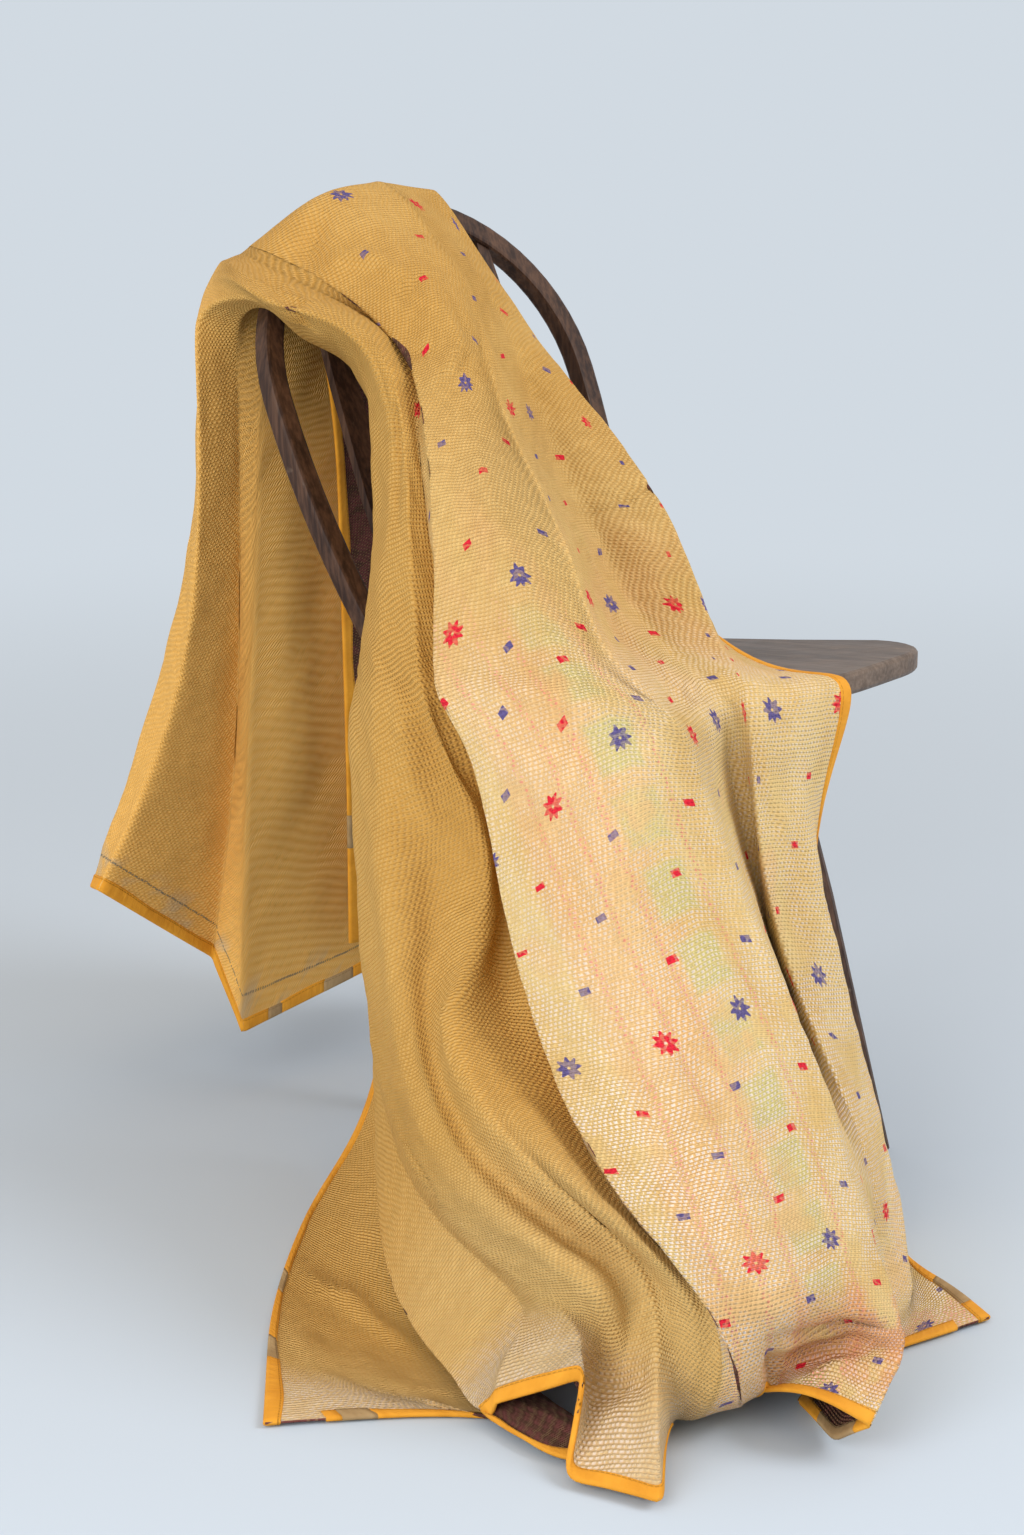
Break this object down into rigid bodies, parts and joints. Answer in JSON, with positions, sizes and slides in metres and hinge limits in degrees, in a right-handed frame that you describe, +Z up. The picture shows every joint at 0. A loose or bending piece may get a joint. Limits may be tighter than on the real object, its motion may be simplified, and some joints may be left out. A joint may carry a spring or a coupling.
{
  "type": "kantha quilt draped over a wooden chair",
  "caption": "Worn yellow kantha quilt, hand stitched all over and bound in orange, hung in folds over a dark hoop-back wooden chair and trailing on the floor.",
  "frame": {"origin": "on the floor, under the middle of the whole piece's box", "axes": "+Z up; the chair faces -Y and the quilt spreads over the floor that way; -X is the near side, which the quilt covers"},
  "size_m": [0.82, 1.0176, 0.8426],
  "materials": {
    "stitched_cloth": "soft washed cotton, straw yellow with small woven-look motifs, dense rows of running stitch, faded peach bands and worn grey-lilac threads; dark speckled reverse",
    "edge_binding": "narrow bias binding in orange-yellow cotton, matt",
    "edge_mend": "tan brown cotton over worn bits of the binding, matt",
    "dark_wood": "dark brown stained wood, low sheen, paler worn arrises",
    "seat_wood": "grey-brown worn wooden seat, grain from front to back, small pale nicks on the front edge"
  },
  "bodies": {
    "root": {"binding_back_1": "edge_binding", "binding_back_2": "edge_binding", "binding_back_3": "edge_binding", "binding_far_1": "edge_binding", "binding_far_2": "edge_binding", "binding_far_3": "edge_binding", "binding_front_1": "edge_binding", "binding_front_2": "edge_binding", "binding_front_3": "edge_binding", "binding_front_4": "edge_binding", "binding_near_1": "edge_binding", "binding_near_2": "edge_binding", "binding_near_3": "edge_binding", "binding_near_4": "edge_binding", "chair_hoop": "dark_wood", "chair_leg_back_far": "dark_wood", "chair_leg_back_near": "dark_wood", "chair_leg_front_far": "dark_wood", "chair_leg_front_near": "dark_wood", "chair_seat": "seat_wood", "chair_slat_1": "dark_wood", "chair_slat_2": "dark_wood", "chair_slat_3": "dark_wood", "chair_slat_4": "dark_wood", "mend_back_1": "edge_mend", "mend_back_2": "edge_mend", "mend_far_1": "edge_mend", "mend_far_2": "edge_mend", "mend_front_1": "edge_mend", "mend_front_2": "edge_mend", "mend_front_3": "edge_mend", "mend_near_1": "edge_mend", "mend_near_2": "edge_mend", "mend_near_3": "edge_mend", "quilt": "stitched_cloth"}
  },
  "joints": []
}
